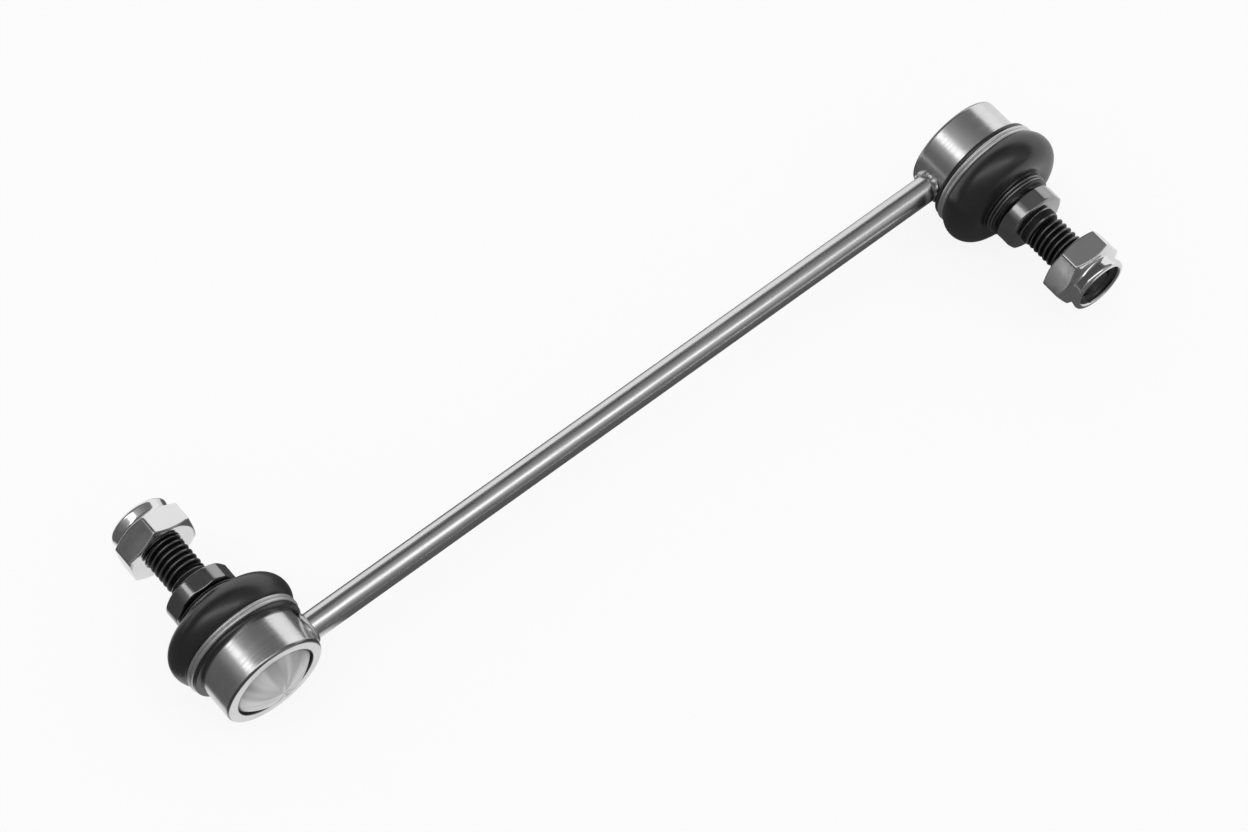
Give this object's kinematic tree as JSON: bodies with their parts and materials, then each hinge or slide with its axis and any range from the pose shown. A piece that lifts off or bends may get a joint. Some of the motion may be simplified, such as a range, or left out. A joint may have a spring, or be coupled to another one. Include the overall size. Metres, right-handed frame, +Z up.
{
  "type": "stabilizer link",
  "caption": "Vehicle stabilizer drop link: a round rod with a welded ball-joint housing at each end, rubber boots, threaded studs facing opposite ways and nylon lock nuts.",
  "frame": {"origin": "midway between the two ball centres, on the rod's axis", "axes": "+X along the rod to the right end, +Y along the left stud, away from its ball, +Z up, square to rod and studs"},
  "size_m": [0.2446, 0.0911, 0.0322],
  "materials": {
    "rod_steel": "bright zinc",
    "housing_steel": "bright zinc",
    "weld_steel": "as welded, zinc",
    "seat_plastic": "moulded",
    "cap_steel": "satin",
    "stud_steel": "black phosphate",
    "boot_rubber": "matte",
    "ring_wire": "drawn wire",
    "nut_steel": "bright zinc",
    "insert_nylon": "moulded"
  },
  "bodies": {
    "link": {"rod": "rod_steel", "left_housing": "housing_steel", "left_weld": "weld_steel", "left_ball_seat": "seat_plastic", "left_end_cap": "cap_steel", "right_housing": "housing_steel", "right_weld": "weld_steel", "right_ball_seat": "seat_plastic", "right_end_cap": "cap_steel"},
    "left_boot_body": {"left_boot": "boot_rubber", "left_boot_clamp": "ring_wire"},
    "left_neck_body": {"left_neck_ring": "ring_wire"},
    "left_stud_body": {"left_ball_stud": "stud_steel"},
    "left_insert_body": {"left_nut_insert": "insert_nylon"},
    "left_nut_body": {"left_lock_nut": "nut_steel"},
    "right_boot_body": {"right_boot": "boot_rubber", "right_boot_clamp": "ring_wire"},
    "right_neck_body": {"right_neck_ring": "ring_wire"},
    "right_stud_body": {"right_ball_stud": "stud_steel"},
    "right_insert_body": {"right_nut_insert": "insert_nylon"},
    "right_nut_body": {"right_lock_nut": "nut_steel"}
  },
  "joints": [
    {"name": "left_swivel", "type": "hinge", "parent": "link", "child": "left_boot_body", "pos_m": [-0.10625, 0, 0], "axis": [0, 1, 0], "continuous": true},
    {"name": "left_tilt", "type": "hinge", "parent": "left_boot_body", "child": "left_neck_body", "pos_m": [-0.10625, 0, 0], "axis": [-1, 0, 0], "range_deg": [-22, 22], "deforming": ["left_boot"]},
    {"name": "left_spin", "type": "hinge", "parent": "left_neck_body", "child": "left_stud_body", "pos_m": [-0.10625, 0, 0], "axis": [0, 1, 0], "continuous": true},
    {"name": "left_nut_run", "type": "slide", "parent": "left_stud_body", "child": "left_insert_body", "axis": [0, 1, 0], "range_m": [-0.009, 0.024]},
    {"name": "left_nut_turn", "type": "hinge", "parent": "left_insert_body", "child": "left_nut_body", "pos_m": [-0.10625, 0, 0], "axis": [0, 1, 0], "range_deg": [-2170, 5770]},
    {"name": "right_swivel", "type": "hinge", "parent": "link", "child": "right_boot_body", "pos_m": [0.10625, 0, 0], "axis": [0, -1, 0], "continuous": true},
    {"name": "right_tilt", "type": "hinge", "parent": "right_boot_body", "child": "right_neck_body", "pos_m": [0.10625, 0, 0], "axis": [1, 0, 0], "range_deg": [-22, 22], "deforming": ["right_boot"]},
    {"name": "right_spin", "type": "hinge", "parent": "right_neck_body", "child": "right_stud_body", "pos_m": [0.10625, 0, 0], "axis": [0, -1, 0], "continuous": true},
    {"name": "right_nut_run", "type": "slide", "parent": "right_stud_body", "child": "right_insert_body", "axis": [0, -1, 0], "range_m": [-0.009, 0.024]},
    {"name": "right_nut_turn", "type": "hinge", "parent": "right_insert_body", "child": "right_nut_body", "pos_m": [0.10625, 0, 0], "axis": [0, -1, 0], "range_deg": [-2170, 5770]}
  ],
  "couplings": [
    {"joint": "left_nut_turn", "follows": "left_nut_run", "rad_per_m": 4188.8},
    {"joint": "right_nut_turn", "follows": "right_nut_run", "rad_per_m": 4188.8}
  ]
}
